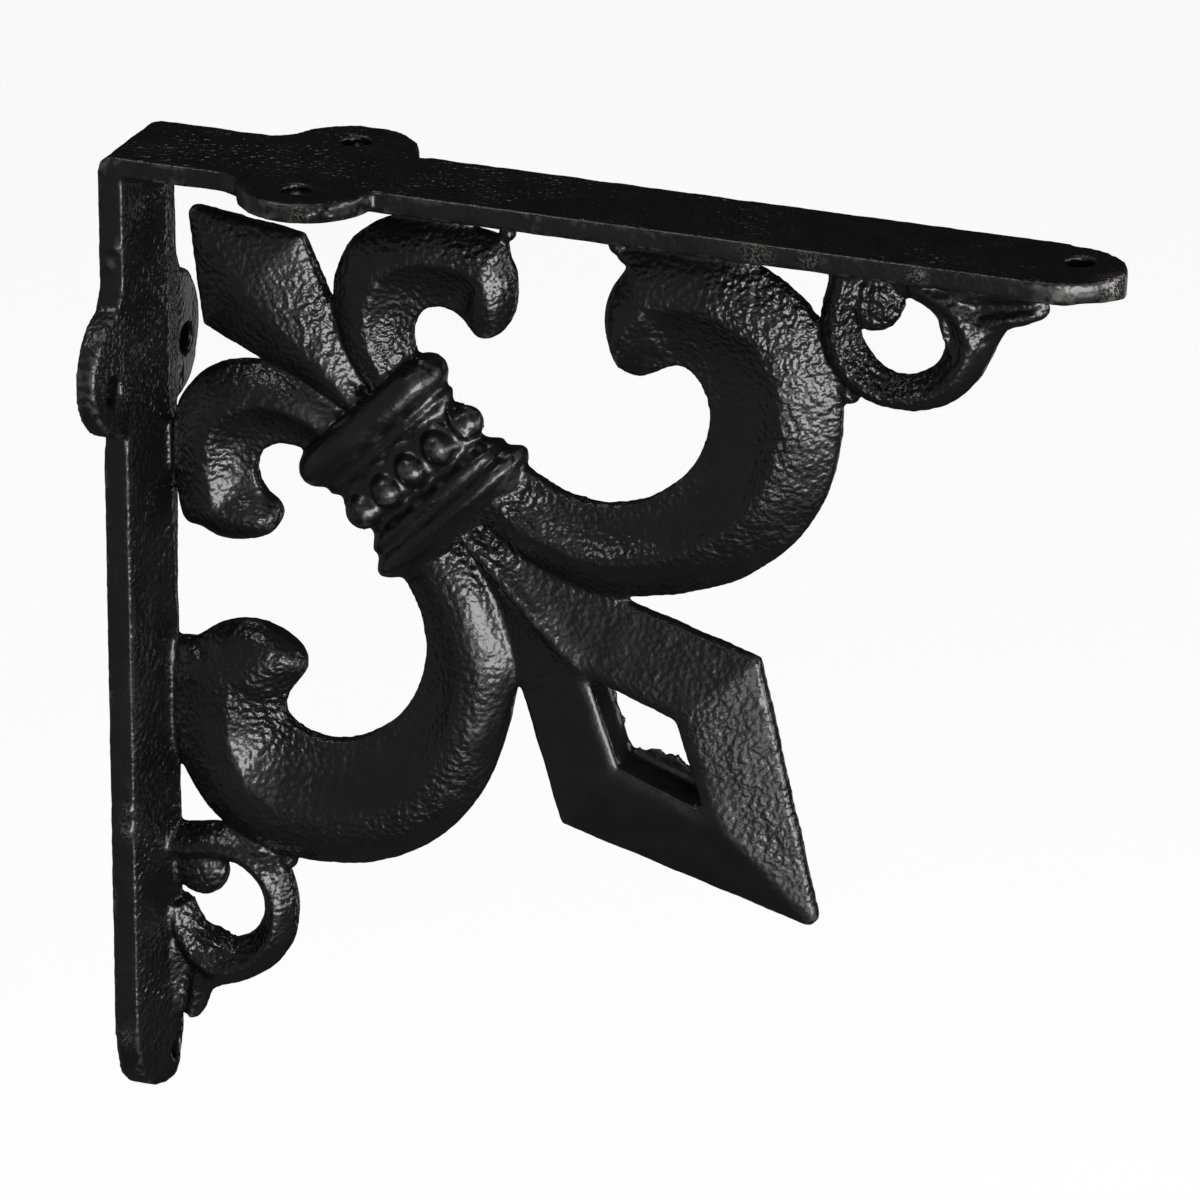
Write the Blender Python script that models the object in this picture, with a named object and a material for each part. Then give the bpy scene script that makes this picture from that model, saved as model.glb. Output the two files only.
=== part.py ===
"""Ornate cast iron shelf bracket: two flanges at a right angle and the ornament cast in between them.

The ornament is a fleur, a beaded collar, scrolls and a pierced pendant. X points out of the wall, Y runs
across the flanges and Z points up. The origin is on the wall face, midway between the two upper screw
holes. The ornament is drawn in its own frame, with its apex at the bracket's outer corner: "across" runs
square to the diagonal, "along" runs down the diagonal away from the corner, and "depth" runs towards -Y.
All sizes are in millimetres until a mesh is written.
"""

import math

import bmesh
import bpy
from mathutils import Vector

MM = 0.001
WELD_DISTANCE = 0.01

PAINT_COLOUR = (0.012, 0.012, 0.013, 1.0)
PAINT_ROUGHNESS = 0.42

# Flanges
SHELF_ARM = 184.8
WALL_ARM = 182.6
ARM_HALF_WIDTH = 10.1
CORNER_HALF_WIDTH = 10.7
CORNER_RADIUS = 2.6
CORNER_STEPS = 5
TIP_LENGTH = 14.0
TIP_FULLNESS = 2.2
TIP_STEPS = 9
RUN_OUT = 5.0

# Thickness along each flange: distance from the corner, then at the near ear's rim, at the near side, on the
# ridge, at the far side and at the far ear's rim
SHELF_THICKNESS = (
    (-RUN_OUT, 3.3, 3.7, 8.0, 3.7, 3.3),
    (27.0, 3.0, 3.7, 8.0, 3.7, 3.0),
    (44.0, 3.6, 3.7, 8.0, 3.7, 3.6),
    (52.0, 5.8, 3.7, 8.0, 3.7, 5.8),
    (168.0, 3.7, 3.7, 8.0, 3.7, 3.7),
    (177.0, 3.7, 3.7, 7.3, 3.7, 3.7),
    (SHELF_ARM + RUN_OUT, 3.5, 3.5, 4.4, 3.5, 3.5),
)
WALL_THICKNESS = (
    (-RUN_OUT, 3.4, 4.7, 7.2, 5.5, 4.7),
    (44.0, 3.4, 4.7, 7.3, 5.5, 4.7),
    (62.0, 5.2, 4.7, 7.5, 5.4, 5.2),
    (90.0, 4.7, 4.7, 8.2, 4.9, 4.7),
    (175.0, 4.6, 4.6, 8.1, 4.6, 4.6),
    (WALL_ARM + RUN_OUT, 4.0, 4.0, 5.6, 4.0, 4.0),
)

# Screw ears and holes
EAR_RADIUS = 12.3
EAR_SWELL = 9.4
SHELF_EAR_FROM_CORNER = 39.2
WALL_EAR_FROM_CORNER = 39.8
EAR_START_DEG = 164.0
EAR_END_DEG = 3.0
EAR_STEPS = 11
EAR_BLEND = 4.0
EAR_REACH = 24.0
SCREW_HOLE = 5.3
SHELF_HOLE_FROM_CORNER = 38.9
SHELF_HOLE_OUT = 13.5
WALL_HOLE_FROM_CORNER = 42.0
WALL_HOLE_OUT = 14.6
TIP_HOLE_FROM_CORNER = 176.0
HOLE_SIDES = 16
CUTTER_LENGTH = 48.0
SHELF_TOP = WALL_HOLE_FROM_CORNER

# Ornament
ORNAMENT_Y = 2.5
SCROLL_DEPTH = 5.6
PETAL_DEPTH = 5.2
SMALL_DEPTH = 4.9
TAIL_DEPTH = 4.2
RIM_DEPTH = 1.1
LARGE_SCROLL_STEPS = 2
SMALL_FORM_STEPS = 1

# Section of a scroll or petal, from its outer rim at -1 to its inner rim at 1
CREST_PLACE = -0.08
OUTER_FULLNESS = 2.2
WIDE_HOLLOW = 1.9
NARROW_HOLLOW = 1.05
WIDE_RIM_SHARE = 0.1
NARROW_RIM_SHARE = 0.0
FULL_SECTION = (-1.0, -0.82, -0.45, CREST_PLACE, 0.28, 0.64, 1.0)
SLIM_SECTION = (-1.0, -0.62, CREST_PLACE, 0.46, 1.0)

# Spearhead petal: its pillowed section is the same shape all the way from the tip to the foot
SPEAR_TIP = 17.2
SPEAR_TIP_HALF_WIDTH = 0.6
SPEAR_SHOULDER = 33.8
SPEAR_HALF_WIDTH = 13.6
SPEAR_FOOT = 62.5
SPEAR_FOOT_HALF_WIDTH = 2.4
SPEAR_DEPTH = 5.2
SPEAR_FOOT_DEPTH = 4.2
SPEAR_RIM_DEPTH = 1.3
SPEAR_FULLNESS = 1.55
SPEAR_TIP_RISE = 1.6
SPEAR_TIP_RINGS = 4
SPEAR_FOOT_RINGS = 3
SPEAR_SECTION = (-1.0, -0.75, -0.4, 0.0, 0.4, 0.75, 1.0)

# Collar: place along the diagonal, half width and half depth of each moulding line
BEAD_SEAT_HALF_WIDTH = 14.2
BEAD_SEAT_HALF_DEPTH = 4.6
COLLAR_LINES = (
    (62.6, 14.6, 5.4),
    (63.6, 16.3, 7.0),
    (65.0, 17.4, 8.0),
    (66.8, 17.6, 8.3),
    (68.4, 17.0, 7.7),
    (69.6, 15.8, 6.2),
    (70.3, 15.2, 5.4),
    (71.2, 15.6, 6.2),
    (71.9, 15.2, 5.6),
    (72.6, 14.5, 4.8),
    (73.8, BEAD_SEAT_HALF_WIDTH, BEAD_SEAT_HALF_DEPTH),
    (80.6, BEAD_SEAT_HALF_WIDTH, BEAD_SEAT_HALF_DEPTH),
    (81.8, 14.6, 5.0),
    (82.9, 15.7, 6.3),
    (83.8, 16.5, 7.1),
    (84.6, 16.3, 6.6),
    (85.1, 16.2, 6.2),
    (85.9, 17.2, 7.1),
    (86.9, 18.3, 8.2),
    (88.1, 18.5, 8.4),
    (89.4, 17.6, 7.3),
    (90.5, 16.2, 5.8),
    (92.0, 15.4, 5.2),
)
COLLAR_ACROSS = -0.7
COLLAR_SIDES = 28
COLLAR_SQUARENESS = 2.8

# Beads evenly round the collar's seat
BEAD_ROW = 77.4
BEADS = 10
BEAD_START = -4.1
SEAT_STEPS = 240
BEAD_HALF_WIDTH = 2.9
BEAD_HALF_LENGTH = 3.2
BEAD_RISE = 3.0
BEAD_SINK = 0.1
BEAD_SEGMENTS = 10
BEAD_RINGS = 7

# Pendant: across, along and half thickness of its edge points on the shelf side, from the collar down, and
# of the facing points of the lozenge that is cut through it. The wall side is a little narrower.
PENDANT_DEPTH = 5.2
PENDANT_RIM_DEPTH = 1.3
PENDANT_EDGE = (
    (0.6, 90.0, PENDANT_DEPTH),
    (2.6, 90.0, PENDANT_RIM_DEPTH),
    (5.0, 103.0, PENDANT_RIM_DEPTH),
    (26.8, 142.3, PENDANT_RIM_DEPTH),
    (1.0, 184.4, PENDANT_RIM_DEPTH),
)
PENDANT_HOLE = (
    (0.4, 126.5, PENDANT_DEPTH),
    (1.4, 128.3, PENDANT_DEPTH),
    (2.4, 130.2, PENDANT_DEPTH),
    (7.7, 141.0, PENDANT_DEPTH),
    (0.4, 155.5, PENDANT_DEPTH),
)
WALL_SIDE_SHARE = 0.955

# Outlines of the scrolls and petals on the +across side, in pairs of points that face each other over the
# crest: outer side across and along, inner side across and along, share of the full depth
PETAL_GUIDES = (
    (3.4, 65.0, 14.0, 65.0, 0.8),
    (3.6, 60.5, 14.9, 62.2, 0.9),
    (5.0, 53.8, 16.6, 59.8, 1.0),
    (8.5, 47.2, 18.3, 58.4, 1.0),
    (13.7, 42.5, 20.2, 57.8, 1.0),
    (20.6, 40.0, 22.0, 57.6, 1.0),
    (28.6, 41.4, 24.0, 58.3, 1.0),
    (35.4, 46.5, 25.6, 59.6, 1.0),
    (40.0, 52.4, 26.4, 60.9, 1.0),
    (43.2, 57.6, 26.7, 62.1, 1.0),
    (41.5, 60.6, 26.9, 63.3, 1.0),
    (40.1, 64.0, 26.8, 64.8, 0.95),
    (37.0, 67.1, 26.7, 66.4, 0.85),
    (33.6, 69.1, 27.0, 67.7, 0.7),
    (30.6, 69.7, 28.2, 68.9, 0.4),
)
SCROLL_GUIDES = (
    (3.0, 89.0, 16.2, 88.5, 0.85),
    (2.6, 94.5, 17.2, 93.0, 0.95),
    (3.6, 100.0, 19.0, 98.0, 1.0),
    (6.6, 107.8, 22.3, 102.5, 1.0),
    (11.0, 115.6, 26.0, 105.7, 1.0),
    (17.6, 120.8, 30.5, 107.9, 1.0),
    (25.5, 125.6, 35.4, 109.0, 1.0),
    (34.5, 129.2, 40.6, 109.0, 1.0),
    (44.5, 130.6, 45.6, 107.8, 1.0),
    (54.2, 129.1, 49.9, 105.4, 1.0),
    (62.8, 125.2, 52.9, 102.2, 1.0),
    (70.8, 118.8, 54.1, 99.4, 1.0),
    (76.7, 111.2, 54.5, 97.6, 1.0),
    (79.5, 102.5, 54.5, 96.6, 1.0),
    (78.7, 93.6, 54.3, 96.0, 1.0),
    (75.0, 85.0, 54.1, 95.4, 1.0),
    (68.1, 78.0, 53.7, 94.8, 1.0),
    (61.4, 72.9, 53.3, 94.4, 1.0),
    (59.0, 75.0, 52.7, 93.8, 1.0),
    (53.9, 76.1, 50.8, 92.8, 1.0),
    (49.7, 78.3, 48.4, 92.0, 0.95),
    (46.8, 81.5, 46.7, 91.4, 0.85),
    (45.3, 85.1, 45.6, 90.7, 0.65),
    (44.7, 88.3, 45.0, 89.7, 0.35),
)
SMALL_GUIDES = (
    (90.5, 96.5, 92.0, 103.0, 0.9),
    (85.4, 99.8, 88.6, 105.8, 1.0),
    (80.2, 103.6, 85.6, 108.2, 1.0),
    (76.8, 108.7, 83.3, 110.6, 1.0),
    (75.7, 114.4, 82.5, 114.0, 1.0),
    (76.9, 119.4, 83.0, 117.5, 1.0),
    (80.1, 124.0, 85.2, 120.4, 1.0),
    (85.0, 127.7, 88.2, 121.8, 1.0),
    (91.2, 129.3, 91.4, 122.1, 1.0),
    (97.3, 128.4, 94.5, 121.0, 1.0),
    (102.9, 125.5, 96.8, 118.6, 1.0),
    (104.6, 119.4, 97.4, 115.9, 0.95),
    (103.0, 113.0, 96.9, 113.0, 0.9),
    (100.0, 108.0, 95.9, 110.6, 0.8),
)
TAIL_GUIDES = (
    (93.0, 129.0, 95.8, 121.0, 0.8),
    (98.5, 128.0, 98.2, 115.0, 0.85),
    (102.6, 126.4, 102.2, 112.4, 0.85),
    (105.8, 125.6, 106.2, 115.4, 0.8),
    (109.2, 127.0, 110.6, 119.8, 0.75),
    (112.0, 127.9, 114.0, 123.4, 0.6),
)
# Name, guides, steps between two guides, depth, hollow inside the crest, inner rim's share, places
CRESTED_FORMS = (
    ("petal", PETAL_GUIDES, SMALL_FORM_STEPS, PETAL_DEPTH, WIDE_HOLLOW, WIDE_RIM_SHARE, FULL_SECTION),
    ("scroll", SCROLL_GUIDES, LARGE_SCROLL_STEPS, SCROLL_DEPTH, WIDE_HOLLOW, WIDE_RIM_SHARE, FULL_SECTION),
    ("small", SMALL_GUIDES, SMALL_FORM_STEPS, SMALL_DEPTH, NARROW_HOLLOW, NARROW_RIM_SHARE, SLIM_SECTION),
    ("tail", TAIL_GUIDES, SMALL_FORM_STEPS, TAIL_DEPTH, NARROW_HOLLOW, NARROW_RIM_SHARE, SLIM_SECTION),
)

BUD_ACROSS = 89.8
BUD_ALONG = 107.1
BUD_RADIUS = 5.4
BUD_DEPTH = 3.0
BUD_SEGMENTS = 14
BUD_RINGS = 8


def clear_scene():
    for item in list(bpy.data.objects):
        bpy.data.objects.remove(item, do_unlink=True)


def new_collection(name):
    collection = bpy.data.collections.new(name)
    bpy.context.scene.collection.children.link(collection)
    return collection


def cast_iron():
    material = bpy.data.materials.new("black_painted_cast_iron")
    material.use_nodes = True
    shader = material.node_tree.nodes["Principled BSDF"]
    shader.inputs["Base Color"].default_value = PAINT_COLOUR
    shader.inputs["Roughness"].default_value = PAINT_ROUGHNESS
    shader.inputs["Metallic"].default_value = 0.0
    return material


def add_object(name, mesh, collection):
    item = bpy.data.objects.new(name, mesh)
    collection.objects.link(item)
    return item


def hide_helper(item):
    item.hide_render = True
    item.display_type = "WIRE"


def mesh_from(name, shape):
    bmesh.ops.recalc_face_normals(shape, faces=shape.faces)
    mesh = bpy.data.meshes.new(name)
    shape.to_mesh(mesh)
    shape.free()
    return mesh


def loft(name, rings, collection, closed=False):
    """Skins rings of equally many points. A closed loft joins the last ring to the first."""
    shape = bmesh.new()
    rows = [[shape.verts.new(Vector(point) * MM) for point in ring] for ring in rings]
    pairs = list(zip(rows, rows[1:]))
    if closed:
        pairs.append((rows[-1], rows[0]))
    for near, far in pairs:
        for i in range(len(near)):
            shape.faces.new((near[i - 1], near[i], far[i], far[i - 1]))
    if not closed:
        shape.faces.new(rows[0])
        shape.faces.new(rows[-1])
    bmesh.ops.triangulate(shape, faces=shape.faces)
    return add_object(name, mesh_from(name, shape), collection)


def slab(name, outline, thickness, collection):
    """A flat outline in the XY plane, thickened both ways."""
    curve = bpy.data.curves.new(name, "CURVE")
    curve.dimensions = "2D"
    curve.fill_mode = "BOTH"
    curve.extrude = thickness / 2 * MM
    spline = curve.splines.new("POLY")
    spline.points.add(len(outline) - 1)
    for point, (x, y) in zip(spline.points, outline):
        point.co = (x * MM, y * MM, 0.0, 1.0)
    spline.use_cyclic_u = True
    source = add_object(name + "_outline", curve, collection)
    bpy.context.view_layer.update()
    evaluated = source.evaluated_get(bpy.context.evaluated_depsgraph_get())
    mesh = bpy.data.meshes.new_from_object(evaluated)
    bpy.data.objects.remove(source, do_unlink=True)
    shape = bmesh.new()
    shape.from_mesh(mesh)
    bmesh.ops.remove_doubles(shape, verts=shape.verts, dist=WELD_DISTANCE * MM)
    bmesh.ops.recalc_face_normals(shape, faces=shape.faces)
    shape.to_mesh(mesh)
    shape.free()
    return add_object(name, mesh, collection)


def boolean(item, operation, other):
    step = item.modifiers.new(operation.lower(), "BOOLEAN")
    step.operation = operation
    step.solver = "EXACT"
    step.object = other


def arm_outline(length, ear_from_corner):
    """An arm's outline seen square on to its flat face: from the corner to the tip, and back again."""
    ear = []
    for i in range(EAR_STEPS + 1):
        angle = math.radians(EAR_START_DEG + (EAR_END_DEG - EAR_START_DEG) * i / EAR_STEPS)
        along = ear_from_corner + EAR_RADIUS * math.cos(angle)
        ear.append((along, EAR_SWELL + EAR_RADIUS * math.sin(angle)))
    half = [(0.0, CORNER_HALF_WIDTH), (ear[0][0] - EAR_BLEND, CORNER_HALF_WIDTH)]
    half += ear
    half.append((ear[-1][0] + EAR_BLEND, ARM_HALF_WIDTH))
    for i in range(TIP_STEPS):
        angle = math.pi / 2 * (1 - i / TIP_STEPS)
        reach = math.cos(angle) ** (2 / TIP_FULLNESS)
        half_width = math.sin(angle) ** (2 / TIP_FULLNESS)
        half.append((length - TIP_LENGTH * (1 - reach), ARM_HALF_WIDTH * half_width))
    half.append((length, 0.0))
    return half + [(along, -across) for along, across in reversed(half[:-1])]


def gable_section(along, near_rim, near_side, ridge, far_side, far_rim):
    """Cross section of an arm: flat outside, and a low ridge inside where the ornament stands."""
    return (
        (along, -EAR_REACH, 0.0),
        (along, -EAR_REACH, near_rim),
        (along, -ARM_HALF_WIDTH, near_side),
        (along, ORNAMENT_Y, ridge),
        (along, ARM_HALF_WIDTH, far_side),
        (along, EAR_REACH, far_rim),
        (along, EAR_REACH, 0.0),
    )


def arm(name, length, ear_from_corner, thickness, place, helpers):
    """One flange. place(along, across, inward) gives the world point in millimetres."""
    plate = slab(name + "_plate", arm_outline(length, ear_from_corner), CUTTER_LENGTH, helpers)
    flange = loft(name, [gable_section(*station) for station in thickness], helpers)
    boolean(flange, "INTERSECT", plate)
    bpy.context.view_layer.update()
    evaluated = flange.evaluated_get(bpy.context.evaluated_depsgraph_get())
    mesh = bpy.data.meshes.new_from_object(evaluated)
    shape = bmesh.new()
    shape.from_mesh(mesh)
    for vert in shape.verts:
        vert.co = Vector(place(*(vert.co / MM))) * MM
    bmesh.ops.recalc_face_normals(shape, faces=shape.faces)
    shape.to_mesh(mesh)
    shape.free()
    for spent in (plate, flange):
        bpy.data.objects.remove(spent, do_unlink=True)
    return add_object(name, mesh, helpers)


def shelf_place(along, across, inward):
    return (along, across, SHELF_TOP - inward)


def wall_place(along, across, inward):
    return (inward, across, SHELF_TOP - along)


def corner_cutter(helpers):
    """The sliver outside the rounded outer corner, across the whole bracket."""
    above = SHELF_TOP + RUN_OUT
    outline = [(-RUN_OUT, SHELF_TOP - CORNER_RADIUS), (-RUN_OUT, above), (CORNER_RADIUS, above)]
    for i in range(CORNER_STEPS + 1):
        angle = math.pi / 2 * (1 + i / CORNER_STEPS)
        x = CORNER_RADIUS * (1 + math.cos(angle))
        z = SHELF_TOP - CORNER_RADIUS * (1 - math.sin(angle))
        outline.append((x, z))
    cutter = slab("corner_cutter", outline, CUTTER_LENGTH, helpers)
    cutter.rotation_euler = (math.pi / 2, 0.0, 0.0)
    return cutter


def screw_cutter(name, centre, axis, helpers):
    shape = bmesh.new()
    bmesh.ops.create_cone(
        shape,
        cap_ends=True,
        segments=HOLE_SIDES,
        radius1=SCREW_HOLE / 2 * MM,
        radius2=SCREW_HOLE / 2 * MM,
        depth=CUTTER_LENGTH * MM,
    )
    cutter = add_object(name, mesh_from(name, shape), helpers)
    cutter.location = Vector(centre) * MM
    if axis == "X":
        cutter.rotation_euler = (0.0, math.pi / 2, 0.0)
    return cutter


def screw_cutters(helpers):
    cutters = []
    for side in (-1, 1):
        shelf_hole = (SHELF_HOLE_FROM_CORNER, side * SHELF_HOLE_OUT, SHELF_TOP)
        cutters.append(screw_cutter(f"shelf_screw_{side}", shelf_hole, "Z", helpers))
        wall_hole = (0.0, side * WALL_HOLE_OUT, 0.0)
        cutters.append(screw_cutter(f"wall_screw_{side}", wall_hole, "X", helpers))
    shelf_tip_hole = (TIP_HOLE_FROM_CORNER, ORNAMENT_Y, SHELF_TOP)
    cutters.append(screw_cutter("shelf_tip_screw", shelf_tip_hole, "Z", helpers))
    wall_tip_hole = (0.0, ORNAMENT_Y, SHELF_TOP - TIP_HOLE_FROM_CORNER)
    cutters.append(screw_cutter("wall_tip_screw", wall_tip_hole, "X", helpers))
    return cutters


def between(before, start, end, after, t):
    """The Catmull-Rom value at t from start to end."""
    slope = end - before
    bend = 2 * before - 5 * start + 4 * end - after
    twist = 3 * start - before - 3 * end + after
    return 0.5 * (2 * start + slope * t + bend * t**2 + twist * t**3)


def smooth_guides(guides, steps):
    """Points on smooth curves through the guides, all of their values together."""
    padded = [guides[0], *guides, guides[-1]]
    points = []
    for i in range(1, len(padded) - 2):
        for step in range(steps):
            points.append(tuple(between(*values, step / steps) for values in zip(*padded[i - 1 : i + 3])))
    points.append(guides[-1])
    return points


def crest_height(side, hollow, rim_share):
    """Share of the depth at a place on the section: round outside the crest, hollow inside it."""
    if side < CREST_PLACE:
        return 1 - ((CREST_PLACE - side) / (CREST_PLACE + 1)) ** OUTER_FULLNESS
    return rim_share + (1 - rim_share) * ((1 - side) / (1 - CREST_PLACE)) ** hollow


def two_faced(front):
    """Closes a ring over both faces of a form from its points on the front face."""
    return front + [(across, -depth, height) for across, depth, height in reversed(front)]


def crested_scroll(name, guides, steps, depth, hollow, rim_share, places, collection):
    """A scroll or petal: crested sections from the outer side to the inner side, with a thin rim."""
    rings = []
    for outer_across, outer_along, inner_across, inner_along, share in smooth_guides(guides, steps):
        rim = RIM_DEPTH * min(1.0, 2 * share)
        front = []
        for place in places:
            inner_part = (place + 1) / 2
            across = outer_across + (inner_across - outer_across) * inner_part
            along = outer_along + (inner_along - outer_along) * inner_part
            rise = (depth * share - RIM_DEPTH) * crest_height(place, hollow, rim_share)
            front.append((across, -(rim + rise), -along))
        rings.append(two_faced(front))
    return loft(name, rings, collection)


def collar(collection):
    rings = []
    for along, half_width, half_depth in COLLAR_LINES:
        ring = []
        for i in range(COLLAR_SIDES):
            angle = 2 * math.pi * i / COLLAR_SIDES
            sideways = math.cos(angle)
            outwards = math.sin(angle)
            across = math.copysign(half_width, sideways) * abs(sideways) ** (2 / COLLAR_SQUARENESS)
            depth = math.copysign(half_depth, outwards) * abs(outwards) ** (2 / COLLAR_SQUARENESS)
            ring.append((COLLAR_ACROSS + across, depth, -along))
        rings.append(ring)
    return loft("collar", rings, collection)


def seat_point(angle):
    """A point of the collar's bead seat, across and in depth."""
    sideways = math.sin(angle)
    outwards = -math.cos(angle)
    across = math.copysign(BEAD_SEAT_HALF_WIDTH, sideways) * abs(sideways) ** (2 / COLLAR_SQUARENESS)
    depth = math.copysign(BEAD_SEAT_HALF_DEPTH, outwards) * abs(outwards) ** (2 / COLLAR_SQUARENESS)
    return Vector((across, depth))


def bead_places():
    """Points evenly spaced round the bead seat, each with the seat's outward direction there."""
    points = [seat_point(2 * math.pi * i / SEAT_STEPS) for i in range(SEAT_STEPS + 1)]
    runs = [0.0]
    for near, far in zip(points, points[1:]):
        runs.append(runs[-1] + (far - near).length)
    places = []
    for i in range(BEADS):
        wanted = (BEAD_START + runs[-1] * i / BEADS) % runs[-1]
        after = next(k for k, run in enumerate(runs) if run > wanted)
        step = points[after] - points[after - 1]
        point = points[after - 1] + step * (wanted - runs[after - 1]) / step.length
        places.append((point, Vector((step.y, -step.x)).normalized()))
    return places


def beads(collection):
    items = []
    for i, (point, outward) in enumerate(bead_places()):
        shape = bmesh.new()
        bmesh.ops.create_uvsphere(shape, u_segments=BEAD_SEGMENTS, v_segments=BEAD_RINGS, radius=1.0)
        for vert in shape.verts:
            x, y, z = vert.co
            wide = Vector((-outward.y, outward.x)) * x * BEAD_HALF_WIDTH + outward * y * BEAD_RISE
            vert.co = Vector((wide.x, wide.y, z * BEAD_HALF_LENGTH)) * MM
        name = f"bead_{i}"
        item = add_object(name, mesh_from(name, shape), collection)
        across, depth = point - outward * BEAD_SINK
        item.location = Vector((COLLAR_ACROSS + across, depth, -BEAD_ROW)) * MM
        items.append(item)
    return items


def both_sides(points, face):
    """A ring of points on one face: the shelf side's half, then the wall side's."""
    half = [(across, face * depth, -along) for across, along, depth in points]
    return half + [(-across * WALL_SIDE_SHARE, depth, height) for across, depth, height in reversed(half)]


def pendant(collection):
    """A kite whose facets rise from a thin edge to the rim of the lozenge that is cut right through."""
    rings = [
        both_sides(PENDANT_HOLE, -1),
        both_sides(PENDANT_EDGE, -1),
        both_sides(PENDANT_EDGE, 1),
        both_sides(PENDANT_HOLE, 1),
    ]
    return loft("pendant", rings, collection, closed=True)


def spear_stations():
    """Place along the diagonal, half width and depth of the ridge, from the tip to the foot."""
    stations = []
    for i in range(SPEAR_TIP_RINGS):
        grown = i / SPEAR_TIP_RINGS
        along = SPEAR_TIP + (SPEAR_SHOULDER - SPEAR_TIP) * grown
        half_width = SPEAR_TIP_HALF_WIDTH + (SPEAR_HALF_WIDTH - SPEAR_TIP_HALF_WIDTH) * grown
        rise = 1 - (1 - grown) ** SPEAR_TIP_RISE
        stations.append((along, half_width, SPEAR_RIM_DEPTH + (SPEAR_DEPTH - SPEAR_RIM_DEPTH) * rise))
    for i in range(SPEAR_FOOT_RINGS + 1):
        gone = i / SPEAR_FOOT_RINGS
        along = SPEAR_SHOULDER + (SPEAR_FOOT - SPEAR_SHOULDER) * gone
        half_width = SPEAR_HALF_WIDTH + (SPEAR_FOOT_HALF_WIDTH - SPEAR_HALF_WIDTH) * gone
        stations.append((along, half_width, SPEAR_DEPTH + (SPEAR_FOOT_DEPTH - SPEAR_DEPTH) * gone))
    return stations


def spear_petal(collection):
    rings = []
    for along, half_width, ridge in spear_stations():
        front = []
        for place in SPEAR_SECTION:
            height = SPEAR_RIM_DEPTH + (ridge - SPEAR_RIM_DEPTH) * (1 - abs(place) ** SPEAR_FULLNESS)
            front.append((half_width * place, -height, -along))
        rings.append(two_faced(front))
    return loft("spear_petal", rings, collection)


def bud(collection):
    shape = bmesh.new()
    bmesh.ops.create_uvsphere(shape, u_segments=BUD_SEGMENTS, v_segments=BUD_RINGS, radius=1.0)
    for vert in shape.verts:
        x, y, z = vert.co
        vert.co = (x * BUD_RADIUS * MM, z * BUD_DEPTH * MM, -y * BUD_RADIUS * MM)
    item = add_object("bud", mesh_from("bud", shape), collection)
    item.location = Vector((BUD_ACROSS, 0.0, -BUD_ALONG)) * MM
    return item


def turn_to_diagonal(item):
    """Puts a mesh drawn in the ornament's frame in its place between the arms."""
    shape = bmesh.new()
    shape.from_mesh(item.data)
    half = math.sqrt(0.5)
    for vert in shape.verts:
        across, depth, height = vert.co + item.location
        vert.co = (
            (across - height) * half,
            depth + ORNAMENT_Y * MM,
            (across + height) * half + SHELF_TOP * MM,
        )
    bmesh.ops.recalc_face_normals(shape, faces=shape.faces)
    shape.to_mesh(item.data)
    shape.free()
    item.location = (0.0, 0.0, 0.0)


def mirrored_copy(item, collection):
    """The same form on the -across side."""
    shape = bmesh.new()
    shape.from_mesh(item.data)
    for vert in shape.verts:
        vert.co.x = -vert.co.x
    twin = add_object(item.name + "_twin", mesh_from(item.name + "_twin", shape), collection)
    twin.location = (-item.location.x, item.location.y, item.location.z)
    return twin


def ornament(collection):
    sides = [crested_scroll(*form, collection) for form in CRESTED_FORMS]
    sides.append(bud(collection))
    sides += [mirrored_copy(item, collection) for item in sides]
    middle = [spear_petal(collection), collar(collection), pendant(collection), *beads(collection)]
    for item in sides + middle:
        turn_to_diagonal(item)
        hide_helper(item)


def main():
    clear_scene()
    bracket = new_collection("shelf_bracket")
    forms = new_collection("cast_forms")
    cutters = new_collection("cutters")
    shelf = arm("shelf_flange", SHELF_ARM, SHELF_EAR_FROM_CORNER, SHELF_THICKNESS, shelf_place, forms)
    wall = arm("wall_flange", WALL_ARM, WALL_EAR_FROM_CORNER, WALL_THICKNESS, wall_place, forms)
    hide_helper(shelf)
    ornament(forms)
    forms.objects.unlink(wall)
    bracket.objects.link(wall)
    wall.name = "bracket_casting"
    wall.data.materials.append(cast_iron())
    union = wall.modifiers.new("union", "BOOLEAN")
    union.operation = "UNION"
    union.solver = "EXACT"
    union.operand_type = "COLLECTION"
    union.collection = forms
    for cutter in [corner_cutter(cutters), *screw_cutters(cutters)]:
        hide_helper(cutter)
        boolean(wall, "DIFFERENCE", cutter)


main()
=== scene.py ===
import math

import bmesh
import bpy
import numpy as np
from mathutils import Matrix, Vector


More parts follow.
